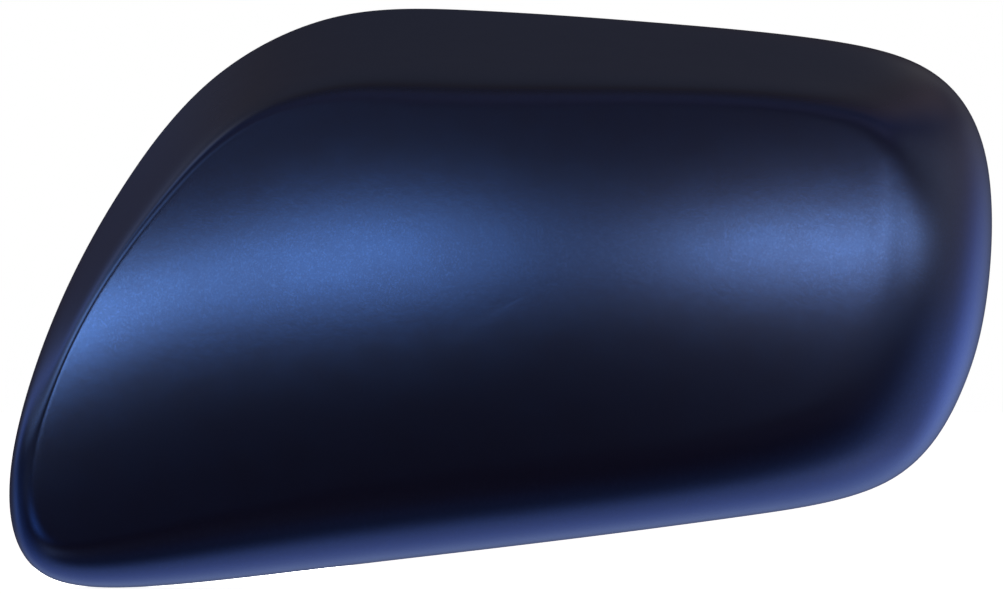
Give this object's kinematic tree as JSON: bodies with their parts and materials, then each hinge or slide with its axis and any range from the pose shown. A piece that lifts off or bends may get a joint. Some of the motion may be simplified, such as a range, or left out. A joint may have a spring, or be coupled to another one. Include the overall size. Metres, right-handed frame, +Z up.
{
  "type": "wing mirror cover",
  "caption": "Deep domed one-piece cap for a wing mirror, creased along the top and softly rolled at the outboard end, with a flat rim, snap hooks and locating pins inside.",
  "frame": {"origin": "centre of the rim's opening, in the plane of the flat rim that seats on the mirror housing", "axes": "+X outboard, along the cover's width; +Y backwards, out of the open side towards the mirror housing; +Z up. The dome bulges towards -Y"},
  "size_m": [0.215, 0.06, 0.127],
  "materials": {
    "painted_cover": "satin dark blue metallic paint on the outside, bare dark grey moulded plastic on the inside"
  },
  "bodies": {
    "root": {"mirror_cover": "painted_cover"}
  },
  "joints": []
}
